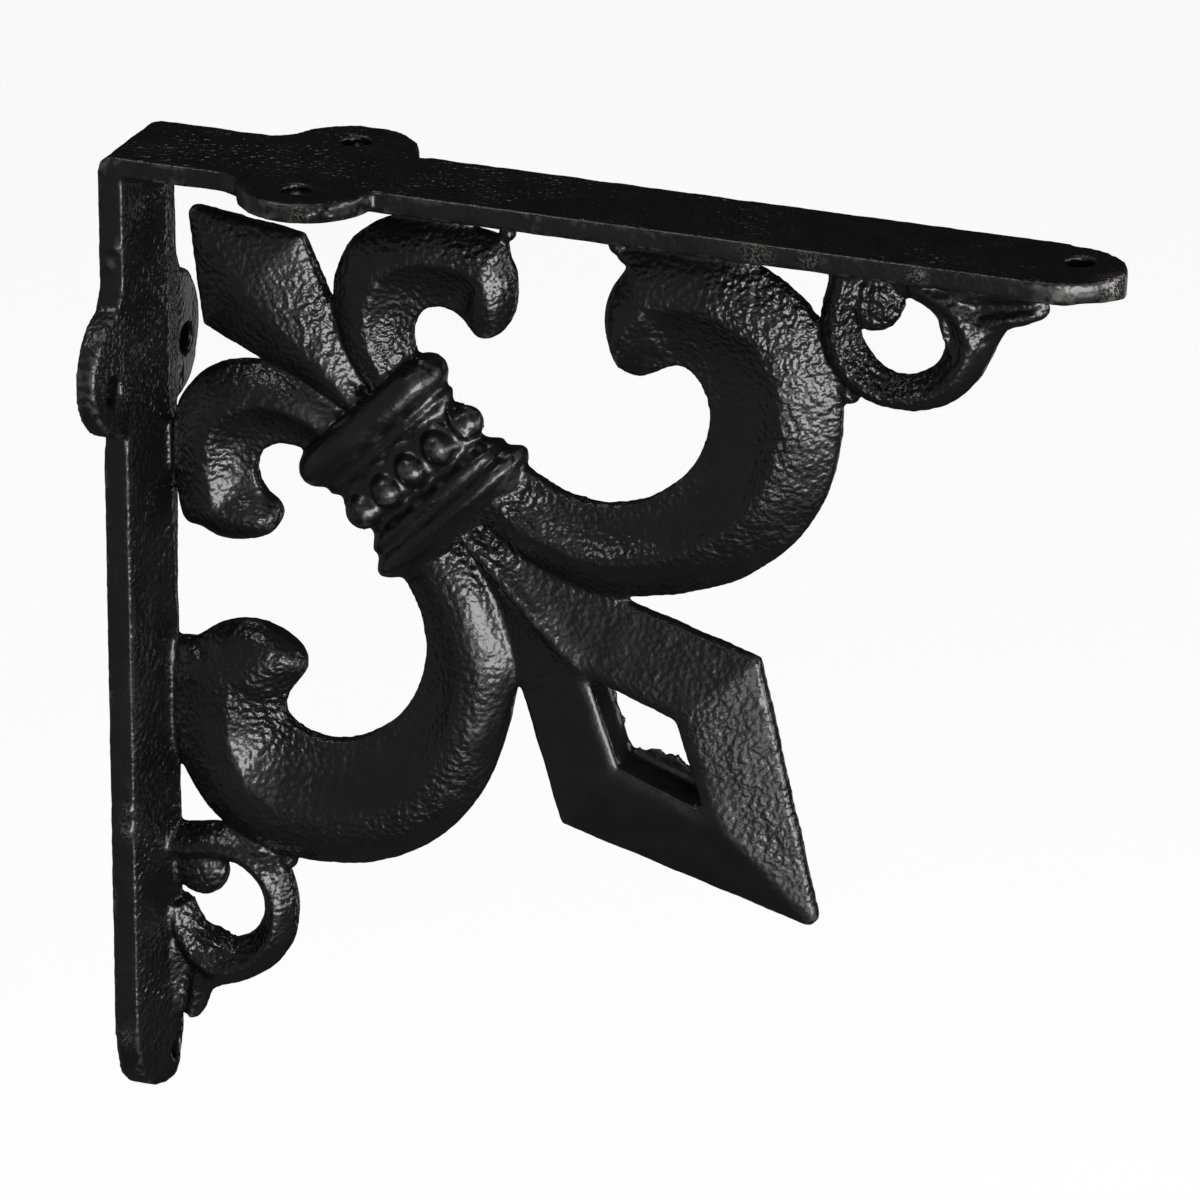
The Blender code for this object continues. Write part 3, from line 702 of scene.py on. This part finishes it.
def beads():
    """Beads all round the collar, each under a raised arch that runs down between it and the next."""
    items = []
    for (across, depth), outward in seat_places():
        turn = Matrix.Rotation(math.atan2(outward.y, outward.x) + math.pi / 2, 4, "Z")
        place = Vector((COLLAR_ACROSS + across - outward.x * BEAD_SINK, depth - outward.y * BEAD_SINK, -BEAD_ROW))
        deselect_all()
        bpy.ops.mesh.primitive_uv_sphere_add(segments=24, ring_count=12, radius=1.0)
        bead = named("bead")
        bead.matrix_world = Matrix.Translation(place * MM) @ turn @ Matrix.Diagonal(Vector(BEAD_SIZE) * MM).to_4x4()
        apply_place(bead)
        rings = []
        for i in range(ARCH_STEPS + 1):
            angle = math.radians(ARCH_START_DEG + ARCH_SWEEP_DEG * i / ARCH_STEPS)
            middle = Vector((math.cos(angle) * ARCH_SIZE[0], 0.0, math.sin(angle) * ARCH_SIZE[1]))
            way = Vector((math.cos(angle), 0.0, math.sin(angle)))
            ring = []
            for k in range(ARCH_SIDES):
                around = 2 * math.pi * k / ARCH_SIDES
                ring.append(middle + (way * math.cos(around) + Vector((0.0, math.sin(around), 0.0))) * ARCH_THICKNESS)
            rings.append(ring)
        arch = loft("arch", rings)
        arch.matrix_world = Matrix.Translation(place * MM) @ turn
        apply_place(arch)
        items += [bead, arch]
    return items


def spear():
    """The middle petal: a pillowed section that widens to the shoulder and narrows to the foot."""
    rings = []
    for i in range(SPEAR_RINGS + 1):
        part = i / SPEAR_RINGS
        along = SPEAR_TIP[1] + (SPEAR_FOOT[1] - SPEAR_TIP[1]) * part
        if along < SPEAR_SHOULDER[1]:
            grown = (along - SPEAR_TIP[1]) / (SPEAR_SHOULDER[1] - SPEAR_TIP[1])
            half_width = SPEAR_TIP[0] + (SPEAR_SHOULDER[0] - SPEAR_TIP[0]) * grown
            ridge = SPEAR_RIM + (SPEAR_DEPTH - SPEAR_RIM) * (1 - (1 - grown) ** SPEAR_TIP_RISE)
        else:
            grown = (along - SPEAR_SHOULDER[1]) / (SPEAR_FOOT[1] - SPEAR_SHOULDER[1])
            half_width = SPEAR_SHOULDER[0] + (SPEAR_FOOT[0] - SPEAR_SHOULDER[0]) * grown
            ridge = SPEAR_DEPTH + (SPEAR_FOOT_DEPTH - SPEAR_DEPTH) * grown
        front = []
        back = []
        for place in SPEAR_SECTION:
            height = SPEAR_RIM + (ridge - SPEAR_RIM) * (1 - abs(place) ** SPEAR_FULLNESS)
            front.append((half_width * place, -height, -along))
            back.append((half_width * place, height, -along))
        rings.append(front + back[::-1])
    return loft("spear", rings)


def facing_ring(points, face, share):
    """One ring of the pendant between its hole, at share 0, and its edge, at share 1."""
    half = []
    for (hole_across, hole_along, hole_depth), (edge_across, edge_along, edge_depth) in points:
        across = hole_across + (edge_across - hole_across) * share
        along = hole_along + (edge_along - hole_along) * share
        depth = hole_depth + (edge_depth - hole_depth) * share**PENDANT_SWELL
        depth -= PENDANT_LIP * max(0.0, 1 - share / PENDANT_LIP_SHARE) ** 2
        half.append((across, face * depth, -along))
    return half + [(-across * WALL_SIDE_SHARE, depth, height) for across, depth, height in reversed(half)]


def pendant():
    """A kite with facets that rise from its thin edge to a rounded lip about the lozenge that pierces it."""
    points = list(zip(PENDANT_HOLE, PENDANT_EDGE))
    rings = [facing_ring(points, -1, share) for share in PENDANT_SHARES]
    rings += [facing_ring(points, 1, share) for share in reversed(PENDANT_SHARES)]
    return loft("pendant", rings, closed=True)


def flash():
    """The ragged fin left inside the pendant's hole, along its two wall-side edges."""
    top, turn, bottom = (Vector(corner) for corner in FLASH_CORNERS)
    upper_width, lower_width, swell = FLASH_WIDTHS
    rings = []
    for i in range(FLASH_STEPS + 1):
        share = i / FLASH_STEPS
        if share < FLASH_TURN:
            across, along = top.lerp(turn, share / FLASH_TURN)
            width = upper_width
        else:
            low = (share - FLASH_TURN) / (1 - FLASH_TURN)
            across, along = turn.lerp(bottom, low)
            width = lower_width + swell * math.sin(math.pi * min(1.0, low * FLASH_SWELL[0])) ** FLASH_SWELL[1]
        width += sum(height * math.sin(rate * share + phase) for height, rate, phase in FLASH_WAVES)
        width = max(FLASH_LEAST, width)
        reach = ((across - FLASH_ROOT, along), (across + width, along - FLASH_LEAN * width))
        front = [(a, FLASH_DEPTH - FLASH_THICKNESS, -b) for a, b in reach]
        back = [(a, FLASH_DEPTH + FLASH_THICKNESS, -b) for a, b in reach[::-1]]
        rings.append(front + back)
    return loft("flash", rings)


def lump(name, place, size):
    deselect_all()
    bpy.ops.mesh.primitive_ico_sphere_add(subdivisions=3, radius=1.0)
    item = named(name)
    item.scale = Vector(size) * MM
    item.location = Vector(place) * MM
    apply_place(item)
    return item


def webs():
    """Webs and nubs of stray metal in the ornament's frame."""
    items = []
    for across, along, depth, *size in ORNAMENT_LUMPS:
        items.append(lump("web", (across, depth, -along), size))
    return items


def flange_outline(length, ear_at):
    """Half of a flange's outline seen square on, from the corner to the tip, then its other half."""
    ear = []
    for i in range(EAR_STEPS + 1):
        angle = math.radians(EAR_START_DEG + (EAR_END_DEG - EAR_START_DEG) * i / EAR_STEPS)
        ear.append((ear_at + EAR_RADIUS * math.cos(angle), EAR_OUT + EAR_RADIUS * math.sin(angle)))
    half = [(0.0, CORNER_HALF_WIDTH), (ear[0][0] - EAR_BLEND, CORNER_HALF_WIDTH)]
    half += ear
    half.append((ear[-1][0] + EAR_BLEND, HALF_WIDTH))
    for i in range(TIP_STEPS):
        angle = math.pi / 2 * (1 - i / TIP_STEPS)
        reach = math.cos(angle) ** (2 / TIP_FULLNESS)
        half_width = math.sin(angle) ** (2 / TIP_FULLNESS)
        half.append((length - TIP_LENGTH * (1 - reach), HALF_WIDTH * half_width))
    half.append((length, 0.0))
    return half + [(along, -across) for along, across in reversed(half[:-1])]


def flange(name, length, ear_at, thickness):
    """A flange lying along X with its flat face up at Z = 0: the outline, pressed out of a ridged bar."""
    outline = flange_outline(length, ear_at)
    deselect_all()
    bpy.ops.mesh.primitive_circle_add(vertices=len(outline), radius=1.0, fill_type="NGON")
    item = named(name)
    for vert, (along, across) in zip(item.data.vertices, outline):
        vert.co = (along * MM, across * MM, PRESS_ABOVE * MM)
    bpy.ops.object.mode_set(mode="EDIT")
    bpy.ops.mesh.select_all(action="SELECT")
    bpy.ops.mesh.extrude_region_move(TRANSFORM_OT_translate={"value": (0.0, 0.0, -PRESS_HEIGHT * MM)})
    bpy.ops.object.mode_set(mode="OBJECT")
    face_outwards(item)
    sections = []
    for along, near_rim, near_side, ridge, far_side, far_rim in thickness:
        sections.append(
            (
                (along, -EAR_REACH, 0.0),
                (along, -EAR_REACH, -near_rim),
                (along, -HALF_WIDTH, -near_side),
                (along, ORNAMENT_Y, -ridge),
                (along, HALF_WIDTH, -far_side),
                (along, EAR_REACH, -far_rim),
                (along, EAR_REACH, 0.0),
            )
        )
    cut(item, loft(name + "_bar", sections), "INTERSECT")
    return item


def drilled(item, place, axis):
    deselect_all()
    bpy.ops.mesh.primitive_cylinder_add(
        vertices=DRILL_SIDES, radius=SCREW_HOLE / 2 * MM, depth=DRILL_LENGTH * MM, location=place
    )
    drill = named("drill")
    if axis == "X":
        drill.rotation_euler = (0.0, math.pi / 2, 0.0)
    apply_place(drill)
    cut(item, drill)


def shelf_flange():
    item = flange("shelf_flange", SHELF_ARM, SHELF_EAR, SHELF_THICKNESS)
    item.location.z = SHELF_TOP * MM
    apply_place(item)
    for place in ((SHELF_SCREW, -SHELF_SCREW_OUT), (SHELF_SCREW, SHELF_SCREW_OUT), (TIP_SCREW, ORNAMENT_Y)):
        drilled(item, (place[0] * MM, place[1] * MM, SHELF_TOP * MM), "Z")
    cut(item, lump("chip", *TIP_CHIP))
    return item


def wall_flange():
    item = flange("wall_flange", WALL_ARM, WALL_EAR, WALL_THICKNESS)
    item.matrix_world = Matrix(
        ((0.0, 0.0, -1.0, 0.0), (0.0, 1.0, 0.0, 0.0), (-1.0, 0.0, 0.0, SHELF_TOP * MM), (0.0, 0.0, 0.0, 1.0))
    )
    apply_place(item)
    face_outwards(item)
    for place in ((-WALL_SCREW_OUT, 0.0), (WALL_SCREW_OUT, 0.0), (ORNAMENT_Y, SHELF_TOP - TIP_SCREW)):
        drilled(item, (0.0, place[0] * MM, place[1] * MM), "X")
    return item


def corner_sliver():
    """What the rounded outer corner leaves off."""
    above = SHELF_TOP + CORNER_MARGIN
    outline = [(-CORNER_MARGIN, SHELF_TOP - CORNER_RADIUS), (-CORNER_MARGIN, above), (CORNER_RADIUS, above)]
    for i in range(CORNER_STEPS + 1):
        angle = math.pi / 2 * (1 + i / CORNER_STEPS)
        x = CORNER_RADIUS * (1 + math.cos(angle))
        z = SHELF_TOP - CORNER_RADIUS * (1 - math.sin(angle))
        outline.append((x, z))
    rings = [[(x, y, z) for x, z in outline] for y in (-CORNER_REACH, CORNER_REACH)]
    return loft("corner_sliver", rings)


def casting():
    wall_scroll = LARGE_SCROLL[: -len(WALL_SIDE_HEAD)] + WALL_SIDE_HEAD
    shelf_side = [
        crested("petal", PETAL, PETAL_CREST, PETAL_DEPTH, petal_section, knob_section),
        crested("large_scroll", LARGE_SCROLL, SCROLL_CREST, SCROLL_DEPTH, scroll_section, scroll_head_section),
        crested("small_scroll", SMALL_SCROLL, SMALL_CREST, SMALL_DEPTH, narrow_section),
        crested("tail", TAIL, TAIL_CREST, TAIL_DEPTH, lipped_section),
        bud(),
    ]
    wall_side = [
        crested("wall_petal", PETAL, WALL_PETAL_CREST, PETAL_DEPTH, petal_section, knob_section),
        crested("wall_large_scroll", wall_scroll, WALL_SCROLL_CREST, SCROLL_DEPTH, wall_scroll_section, knob_section),
        crested("wall_small_scroll", SMALL_SCROLL, SMALL_CREST, SMALL_DEPTH, narrow_section),
        crested("wall_tail", TAIL, TAIL_CREST, TAIL_DEPTH, lipped_section),
        bud(),
    ]
    sides = shelf_side + [to_wall_side(item) for item in wall_side]
    ornament = sides + [spear(), collar(), pendant(), flash(), *beads(), *webs()]
    for item in ornament:
        item.matrix_world = DIAGONAL
        apply_place(item)
    flanges = [shelf_flange(), wall_flange()]
    for item in flanges:
        cut(item, corner_sliver())
    nodules = [lump("nodule", place, size) for place, size in FLANGE_LUMPS]
    whole = joined("bracket_casting_detail", flanges + ornament + nodules)
    remesh = whole.modifiers.new("one_casting", "REMESH")
    remesh.mode = "VOXEL"
    remesh.voxel_size = MESH_STEP * MM
    soften = whole.modifiers.new("soft_edges", "SMOOTH")
    soften.factor = SOFTENING
    soften.iterations = SOFTENING_ROUNDS
    apply_modifiers(whole)
    roughen(whole)
    faces = sum(len(face.vertices) - 2 for face in whole.data.polygons)
    if faces > FACE_LIMIT:
        thin = whole.modifiers.new("thinned", "DECIMATE")
        thin.ratio = FACE_LIMIT / faces
        apply_modifiers(whole)
    keep_in_box(whole)
    take(whole)
    bpy.ops.object.shade_smooth()
    return whole


def point_arrays(mesh):
    count = len(mesh.vertices)
    places = np.empty(count * 3, np.float32)
    mesh.vertices.foreach_get("co", places)
    normals = np.empty(count * 3, np.float32)
    mesh.vertex_normals.foreach_get("vector", normals)
    return places.reshape(-1, 3).astype(float) / MM, normals.reshape(-1, 3).astype(float)


def neighbour_mean(mesh):
    """A function that averages values over each point's neighbours."""
    count = len(mesh.vertices)
    edges = np.empty(len(mesh.edges) * 2, np.int32)
    mesh.edges.foreach_get("vertices", edges)
    ends = edges.reshape(-1, 2)
    number = np.maximum(np.bincount(edges, minlength=count), 1).astype(float)

    def mean(values):
        total = np.zeros_like(values)
        np.add.at(total, ends[:, 0], values[ends[:, 1]])
        np.add.at(total, ends[:, 1], values[ends[:, 0]])
        return total / (number[:, None] if values.ndim == 2 else number)

    return mean


def skin_roughness(mesh):
    """How pebbled the cast skin is at each point, from 0 to 1."""
    places, normals = point_arrays(mesh)
    x, y, z = places.T
    across = (x + z - SHELF_TOP) * DIAGONAL_SHARE
    along = (x - z + SHELF_TOP) * DIAGONAL_SHARE
    skin = np.full(len(x), PLAIN_SKIN)
    for spot_across, spot_along, radius, amount in ROUGH_SPOTS:
        near = np.exp(-((across - spot_across) ** 2 + (along - spot_along) ** 2) / radius**2)
        skin += amount * near
    on_collar = (along > COLLAR_RUN[0]) & (along < COLLAR_RUN[1]) & (abs(across) < COLLAR_HALF_WIDTH)
    skin = np.where(on_collar, COLLAR_SKIN, skin)
    on_pendant = (along > PENDANT_START) & (abs(across) < PENDANT_HALF_WIDTH)
    skin = np.where(on_pendant, PENDANT_SKIN + PENDANT_SHELF_SKIN * (across > PENDANT_MIDDLE), skin)
    on_shelf = z > SHELF_TOP - FLANGE_BAND
    on_wall = x < FLANGE_BAND
    side_face = np.abs(normals[:, 1]) ** 2
    flange_skin = np.where(on_shelf, TOP_SKIN * np.clip(normals[:, 2], UNDERSIDE_SHARE, 1.0), WALL_SKIN)
    flange_skin = flange_skin * (1 - side_face) + SIDE_SKIN * side_face
    far_ear = on_wall & (y > HALF_WIDTH + FAR_EAR_MARGIN)
    flange_skin = np.where(far_ear, SIDE_SKIN, flange_skin)
    skin = np.where(on_shelf | on_wall, flange_skin, skin)
    mean = neighbour_mean(mesh)
    for _ in range(SKIN_BLENDS):
        skin = mean(skin)
    return np.clip(skin, 0.0, 1.0)


def roughen(item):
    """Sand-cast skin: slow waves everywhere, and a grain of about a millimetre where the skin is pebbled."""
    skin = skin_roughness(item.data)
    group = item.vertex_groups.new(name="pebbled")
    levels = np.rint(skin * SKIN_LEVELS).astype(int)
    for level in range(1, SKIN_LEVELS + 1):
        group.add(np.nonzero(levels == level)[0].tolist(), level / SKIN_LEVELS, "REPLACE")
    for name, size, strength in RELIEF:
        texture = bpy.data.textures.new(name, "CLOUDS")
        texture.noise_scale = size * MM
        texture.noise_depth = 0
        texture.noise_basis = "IMPROVED_PERLIN"
        step = item.modifiers.new(name, "DISPLACE")
        step.texture = texture
        step.texture_coords = "LOCAL"
        step.strength = strength * MM
        step.mid_level = 0.5
        if name == PEBBLED_RELIEF:
            step.vertex_group = group.name
    apply_modifiers(item)


def keep_in_box(item):
    """Holds the skin inside the casting's own overall size."""
    low, high = (np.array(corner) for corner in cad_box)
    places, _ = point_arrays(item.data)
    places = np.clip(places * MM, low, high)
    item.data.vertices.foreach_set("co", places.astype(np.float32).ravel())
    item.data.update()


def mark_edges(item):
    """Writes how far each point stands out of its surroundings, where paint wears, and how pebbled it is."""
    mesh = item.data
    places, normals = point_arrays(mesh)
    mean = neighbour_mean(mesh)
    wide = places
    for _ in range(WIDE_BLENDS):
        wide = mean(wide)
    proud = np.einsum("ij,ij->i", places - wide, normals)
    for _ in range(PROUD_BLENDS):
        proud = mean(proud)
    # Where pale paint goes: the chipped paint at the shelf's tip, and painted glints on nodules and flange sides
    chip_and_glint = np.zeros(len(places))
    for *spot, radius, amount in CHIP_AND_GLINT_SPOTS:
        chip_and_glint += amount * np.exp(-np.sum((places - np.array(spot)) ** 2, axis=1) / radius**2)
    for name, values in (
        ("skin", skin_roughness(mesh)),
        ("proud", 0.5 + 0.5 * proud / PROUD_REACH),
        ("chip_and_glint", chip_and_glint),
    ):
        layer = mesh.attributes.new(name, "FLOAT", "POINT")
        layer.data.foreach_set("value", np.clip(values, 0.0, 1.0).astype(np.float32))


def node(tree, kind, **values):
    item = tree.nodes.new(kind)
    for name, value in values.items():
        if name in item.inputs:
            item.inputs[name].default_value = value
        else:
            setattr(item, name, value)
    return item


def noise(tree, scale, detail, roughness):
    """A noise texture laid out in the casting's own coordinates."""
    where = node(tree, "ShaderNodeTexCoord")
    item = node(tree, "ShaderNodeTexNoise", Scale=scale, Detail=detail, Roughness=roughness)
    tree.links.new(where.outputs["Object"], item.inputs["Vector"])
    return item.outputs["Fac"]


def marked(tree, name):
    """What mark_edges wrote under that name."""
    return node(tree, "ShaderNodeAttribute", attribute_name=name).outputs["Fac"]


def remap(tree, value, source, target=(0.0, 1.0), shape="LINEAR"):
    """Carries a value from one range to another."""
    item = node(tree, "ShaderNodeMapRange", interpolation_type=shape)
    for name, number in zip(("From Min", "From Max", "To Min", "To Max"), (*source, *target)):
        item.inputs[name].default_value = number
    tree.links.new(value, item.inputs["Value"])
    return item.outputs["Result"]


def calculated(tree, operation, first, second):
    item = node(tree, "ShaderNodeMath", operation=operation)
    tree.links.new(first, item.inputs[0])
    tree.links.new(second, item.inputs[1])
    return item.outputs["Value"]


def painted_over(tree, cover, under, colour):
    """Lays a colour over the one under it, as far as cover says."""
    item = node(tree, "ShaderNodeMix", data_type="RGBA")
    item.inputs["B"].default_value = colour
    tree.links.new(cover, item.inputs["Factor"])
    if isinstance(under, tuple):
        item.inputs["A"].default_value = under
    else:
        tree.links.new(under, item.inputs["A"])
    return item.outputs["Result"]


def painted_iron():
    """Satin black paint, faintly mottled, worn grey on the sharpest edges, pale at a chip on the shelf's tip and
    speckled with painted glints in spots, on a pebbled skin.
    """
    material = bpy.data.materials.new("black_painted_cast_iron")
    material.use_nodes = True
    tree = material.node_tree
    shader = tree.nodes["Principled BSDF"]
    link = tree.links.new

    mottle = noise(tree, *MOTTLE)
    worn = remap(tree, marked(tree, "proud"), WORN_RANGE)
    broken = remap(tree, noise(tree, *WEAR_BREAKS), WEAR_BREAK_RANGE)
    specks = remap(tree, noise(tree, *SPECKS), SPECK_RANGE)
    paint = painted_over(tree, mottle, DEEP_PAINT, PALE_PAINT)
    paint = painted_over(tree, calculated(tree, "MULTIPLY", worn, broken), paint, WORN_PAINT)
    # Pale speckles: chipped paint at the shelf's tip, painted glints on the nodules and flange sides
    paint = painted_over(tree, calculated(tree, "MULTIPLY", marked(tree, "chip_and_glint"), specks), paint, PALE_CHIP_AND_GLINT)
    link(paint, shader.inputs["Base Color"])
    link(remap(tree, mottle, MOTTLE_RANGE, PAINT_ROUGHNESS), shader.inputs["Roughness"])

    height = node(tree, "ShaderNodeMath", operation="MULTIPLY_ADD")
    height.inputs[1].default_value = FINE_SHARE
    link(noise(tree, *FINE_PEBBLES), height.inputs[0])
    link(noise(tree, *PEBBLES), height.inputs[2])
    patches = remap(tree, noise(tree, *PATCHES), PATCH_RANGE, PATCH_STRENGTH)
    bump = node(tree, "ShaderNodeBump", Distance=PEBBLE_HEIGHT * MM)
    link(calculated(tree, "MULTIPLY", patches, marked(tree, "skin")), bump.inputs["Strength"])
    link(height.outputs["Value"], bump.inputs["Height"])
    link(bump.outputs["Normal"], shader.inputs["Normal"])
    return material


def softbox(name, azimuth, elevation, width, height, brightness):
    """A soft light that faces the bracket from that azimuth (0 in front, 90 to the right) and elevation."""
    turn = math.radians(azimuth)
    lift = math.radians(elevation)
    way = Vector((math.sin(turn) * math.cos(lift), -math.cos(turn) * math.cos(lift), math.sin(lift)))
    deselect_all()
    bpy.ops.object.light_add(type="AREA", location=Vector(BRACKET_MIDDLE) + way * LAMP_DISTANCE)
    lamp = bpy.context.object
    lamp.name = name
    lamp.data.shape = "RECTANGLE"
    lamp.data.size = width
    lamp.data.size_y = height
    lamp.data.energy = brightness * math.pi * width * height
    lamp.rotation_euler = way.to_track_quat("Z", "Y").to_euler()


def pale_floor():
    deselect_all()
    bpy.ops.mesh.primitive_plane_add(size=FLOOR_SIZE, location=(0.0, 0.0, FLOOR_HEIGHT))
    floor = named("pale_floor")
    material = bpy.data.materials.new("pale_floor")
    material.use_nodes = True
    surface = material.node_tree.nodes["Principled BSDF"]
    surface.inputs["Base Color"].default_value = FLOOR_COLOUR
    surface.inputs["Roughness"].default_value = FLOOR_ROUGHNESS
    surface.inputs["Emission Color"].default_value = WHITE
    surface.inputs["Emission Strength"].default_value = FLOOR_BRIGHTNESS
    floor.data.materials.append(material)
    floor.visible_glossy = False
    floor.visible_diffuse = False


def studio_walls():
    """Even light from all round, weaker below and behind, with a soft glow to the front right."""
    world = bpy.data.worlds.new("studio")
    bpy.context.scene.world = world
    world.use_nodes = True
    tree = world.node_tree
    background = tree.nodes["Background"]
    way = node(tree, "ShaderNodeTexCoord").outputs["Generated"]
    split = node(tree, "ShaderNodeSeparateXYZ")
    towards = node(tree, "ShaderNodeVectorMath", operation="DOT_PRODUCT")
    towards.inputs[1].default_value = GLOW_WAY
    for item in (split, towards):
        tree.links.new(way, item.inputs[0])
    height = remap(tree, split.outputs["Z"], WALL_HEIGHTS, WALL_BRIGHTNESS)
    rear = remap(tree, split.outputs["Y"], WALL_REAR, WALL_REAR_SHARE)
    glow = remap(tree, towards.outputs["Value"], GLOW_SPREAD, (0.0, GLOW_STRENGTH), "SMOOTHSTEP")
    walls = calculated(tree, "MULTIPLY", height, rear)
    tree.links.new(calculated(tree, "ADD", walls, glow), background.inputs["Strength"])
    background.inputs["Color"].default_value = WHITE


def photo_camera():
    deselect_all()
    bpy.ops.object.camera_add()
    camera = bpy.context.object
    camera.name = "photo_camera"
    camera.data.lens = CAMERA_LENS
    camera.data.sensor_width = CAMERA_SENSOR
    camera.location = CAMERA_PLACE
    camera.rotation_euler = [math.radians(angle) for angle in CAMERA_TURN_DEG]
    bpy.context.scene.camera = camera


bpy.context.scene.view_settings.view_transform = "Standard"
photo_camera()
pale_floor()
studio_walls()
for softbox_values in SOFTBOXES:
    softbox(*softbox_values)
bracket = casting()
mark_edges(bracket)
bracket.data.materials.clear()
bracket.data.materials.append(painted_iron())
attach(bracket, "root")
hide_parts("bracket_casting")
